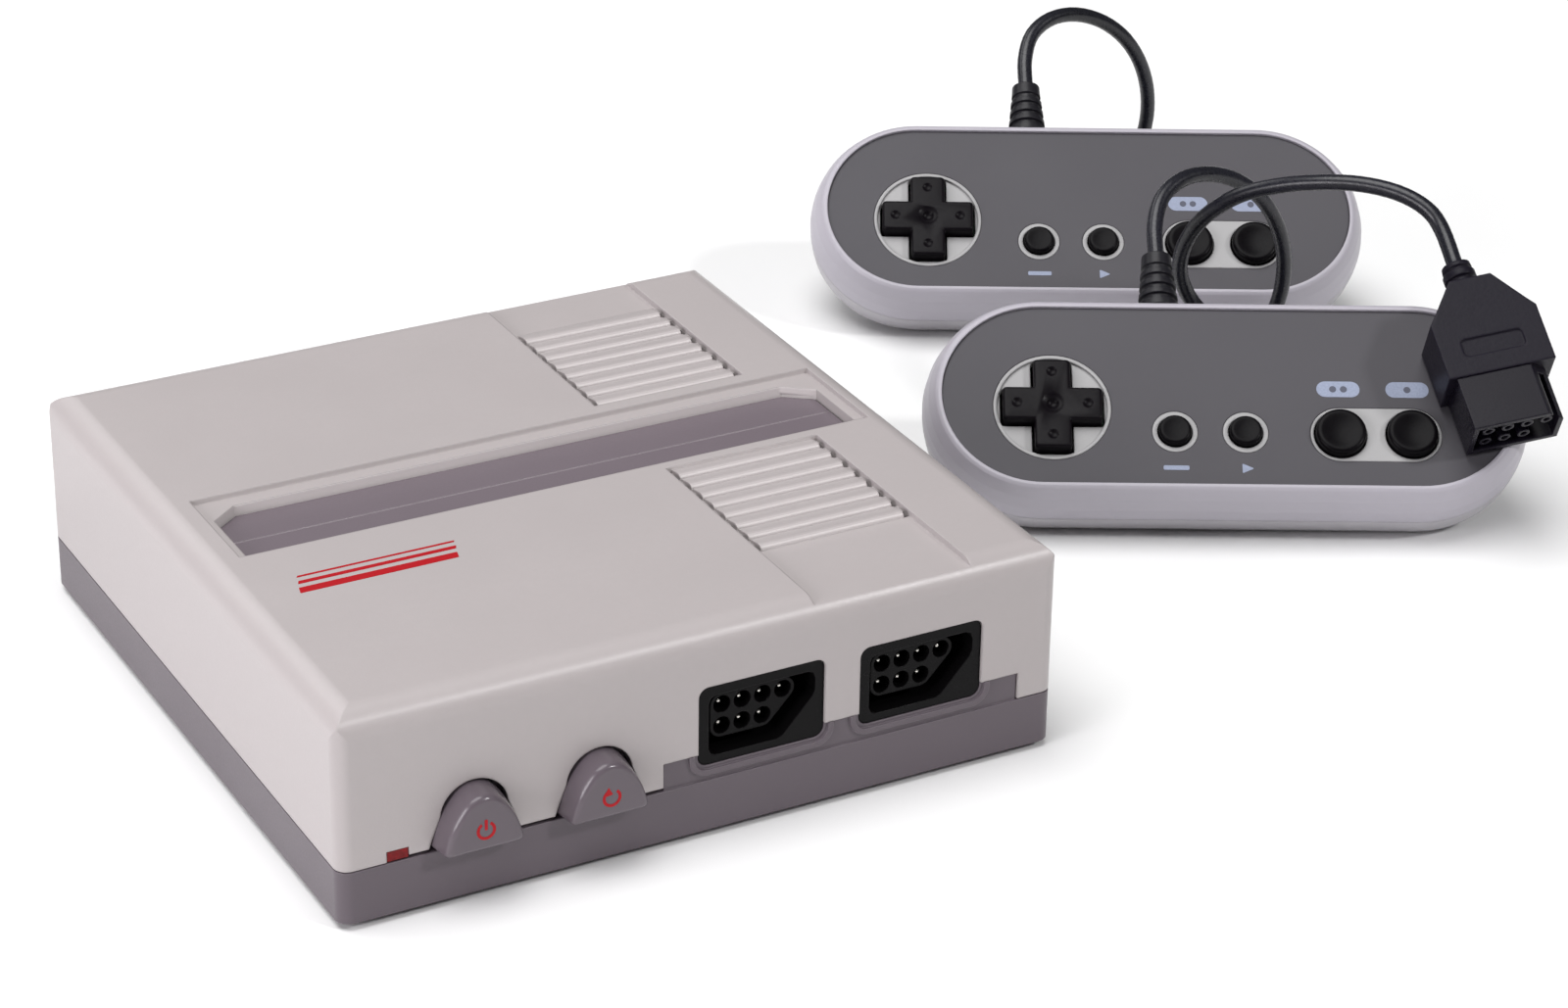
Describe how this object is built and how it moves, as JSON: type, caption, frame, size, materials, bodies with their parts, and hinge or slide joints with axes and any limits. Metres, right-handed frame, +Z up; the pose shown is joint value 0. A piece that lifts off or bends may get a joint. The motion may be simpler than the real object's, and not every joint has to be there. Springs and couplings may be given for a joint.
{
  "type": "video game console with controllers",
  "caption": "Low square game console with front sockets, sprung top slot flap and push buttons, with rounded corded hand controllers resting beside it on their own coiled cords.",
  "frame": {"origin": "centre of the footprint of the console and controllers, on the surface they stand on (cords left out)", "axes": "+X to the console's right, from the console to the controllers; +Y from its button side to its back; +Z up"},
  "size_m": [0.3094, 0.2373, 0.0594],
  "materials": {
    "shell_grey": "fine moulded grain",
    "base_mauve": "fine moulded grain",
    "steel": "plain",
    "switch_white": "smooth",
    "lamp_red": "polished, translucent",
    "socket_black": "semi-gloss",
    "board_green": "lacquered",
    "contact_gold": "plated",
    "jack_yellow": "plated, with coloured collars",
    "foot_rubber": "matt",
    "pad_grey": "fine moulded grain",
    "plate_grey": "satin",
    "key_black": "satin",
    "cord_black": "semi-matt",
    "plug_black": "fine grain"
  },
  "bodies": {
    "console": {"top_shell": "shell_grey", "base_shell": "base_mauve", "flap_hinge_pin": "steel", "flap_spring": "steel", "power_spring": "steel", "power_switch": "switch_white", "reset_spring": "steel", "reset_switch": "switch_white", "led_lens": "lamp_red", "led": "lamp_red", "port_socket_left": "socket_black", "port_socket_right": "socket_black", "port_pins": "steel", "main_board": "board_green", "board_components": "socket_black", "cartridge_connector": "socket_black", "connector_contacts": "contact_gold", "av_jacks": "jack_yellow", "dc_jack": "socket_black", "case_screws": "steel", "board_screws": "steel", "rubber_feet": "foot_rubber"},
    "power_button": {"power_button": "base_mauve"},
    "reset_button": {"reset_button": "base_mauve"},
    "slot_flap": {"slot_flap": "base_mauve"},
    "pad_1": {"front_shell_1": "pad_grey", "face_plate_1": "plate_grey", "back_shell_1": "pad_grey", "button_pads_1": "foot_rubber", "pad_board_1": "board_green", "pad_screws_1": "steel", "strain_relief_1": "cord_black", "cord_1": "cord_black", "cord_coil_1": "cord_black", "plug_body_1": "plug_black", "plug_nose_1": "plug_black"},
    "dpad_rocker_1": {"dpad_pad_1": "foot_rubber"},
    "dpad_cross_1": {"dpad_1": "key_black"},
    "button_a_1": {"button_a_1": "key_black"},
    "button_b_1": {"button_b_1": "key_black"},
    "button_select_1": {"button_select_1": "key_black"},
    "button_start_1": {"button_start_1": "key_black"},
    "pad_2": {"front_shell_2": "pad_grey", "face_plate_2": "plate_grey", "back_shell_2": "pad_grey", "button_pads_2": "foot_rubber", "pad_board_2": "board_green", "pad_screws_2": "steel", "strain_relief_2": "cord_black", "cord_2": "cord_black", "cord_coil_2": "cord_black", "plug_body_2": "plug_black", "plug_nose_2": "plug_black"},
    "dpad_rocker_2": {"dpad_pad_2": "foot_rubber"},
    "dpad_cross_2": {"dpad_2": "key_black"},
    "button_a_2": {"button_a_2": "key_black"},
    "button_b_2": {"button_b_2": "key_black"},
    "button_select_2": {"button_select_2": "key_black"},
    "button_start_2": {"button_start_2": "key_black"}
  },
  "joints": [
    {"name": "power_press", "type": "slide", "parent": "console", "child": "power_button", "axis": [0, 1, 0], "range_m": [0, 0.003], "stiffness_N_per_m": 300, "deforming": ["power_spring"]},
    {"name": "reset_press", "type": "slide", "parent": "console", "child": "reset_button", "axis": [0, 1, 0], "range_m": [0, 0.003], "stiffness_N_per_m": 300, "deforming": ["reset_spring"]},
    {"name": "flap_swing", "type": "hinge", "parent": "console", "child": "slot_flap", "pos_m": [-0.0827, -0.0399, 0.0351], "axis": [-1, 0, 0], "range_deg": [0, 85], "stiffness_Nm_per_rad": 0.003, "springref_deg": -34.38, "deforming": ["flap_spring"]},
    {"name": "pad_lift_1", "type": "slide", "parent": "console", "child": "pad_1", "axis": [0, 0, 1], "range_m": [0, 0.12]},
    {"name": "dpad_up_down_1", "type": "hinge", "parent": "pad_1", "child": "dpad_rocker_1", "pos_m": [0.03753, -0.01717, 0.01964], "axis": [0.8829, -0.4695, 0], "range_deg": [-4, 4], "stiffness_Nm_per_rad": 0.05},
    {"name": "dpad_left_right_1", "type": "hinge", "parent": "dpad_rocker_1", "child": "dpad_cross_1", "pos_m": [0.03753, -0.01717, 0.01964], "axis": [0.3798, 0.7143, 0.5878], "range_deg": [-4, 4], "stiffness_Nm_per_rad": 0.05},
    {"name": "press_a_1", "type": "slide", "parent": "pad_1", "child": "button_a_1", "axis": [0.2759, 0.519, -0.809], "range_m": [0, 0.0012], "stiffness_N_per_m": 300},
    {"name": "press_b_1", "type": "slide", "parent": "pad_1", "child": "button_b_1", "axis": [0.2759, 0.519, -0.809], "range_m": [0, 0.0012], "stiffness_N_per_m": 300},
    {"name": "press_select_1", "type": "slide", "parent": "pad_1", "child": "button_select_1", "axis": [0.2759, 0.519, -0.809], "range_m": [0, 0.0012], "stiffness_N_per_m": 300},
    {"name": "press_start_1", "type": "slide", "parent": "pad_1", "child": "button_start_1", "axis": [0.2759, 0.519, -0.809], "range_m": [0, 0.0012], "stiffness_N_per_m": 300},
    {"name": "pad_lift_2", "type": "slide", "parent": "console", "child": "pad_2", "axis": [0, 0, 1], "range_m": [0, 0.12]},
    {"name": "dpad_up_down_2", "type": "hinge", "parent": "pad_2", "child": "dpad_rocker_2", "pos_m": [0.06353, 0.07783, 0.01964], "axis": [0.8829, -0.4695, 0], "range_deg": [-4, 4], "stiffness_Nm_per_rad": 0.05},
    {"name": "dpad_left_right_2", "type": "hinge", "parent": "dpad_rocker_2", "child": "dpad_cross_2", "pos_m": [0.06353, 0.07783, 0.01964], "axis": [0.3798, 0.7143, 0.5878], "range_deg": [-4, 4], "stiffness_Nm_per_rad": 0.05},
    {"name": "press_a_2", "type": "slide", "parent": "pad_2", "child": "button_a_2", "axis": [0.2759, 0.519, -0.809], "range_m": [0, 0.0012], "stiffness_N_per_m": 300},
    {"name": "press_b_2", "type": "slide", "parent": "pad_2", "child": "button_b_2", "axis": [0.2759, 0.519, -0.809], "range_m": [0, 0.0012], "stiffness_N_per_m": 300},
    {"name": "press_select_2", "type": "slide", "parent": "pad_2", "child": "button_select_2", "axis": [0.2759, 0.519, -0.809], "range_m": [0, 0.0012], "stiffness_N_per_m": 300},
    {"name": "press_start_2", "type": "slide", "parent": "pad_2", "child": "button_start_2", "axis": [0.2759, 0.519, -0.809], "range_m": [0, 0.0012], "stiffness_N_per_m": 300}
  ]
}
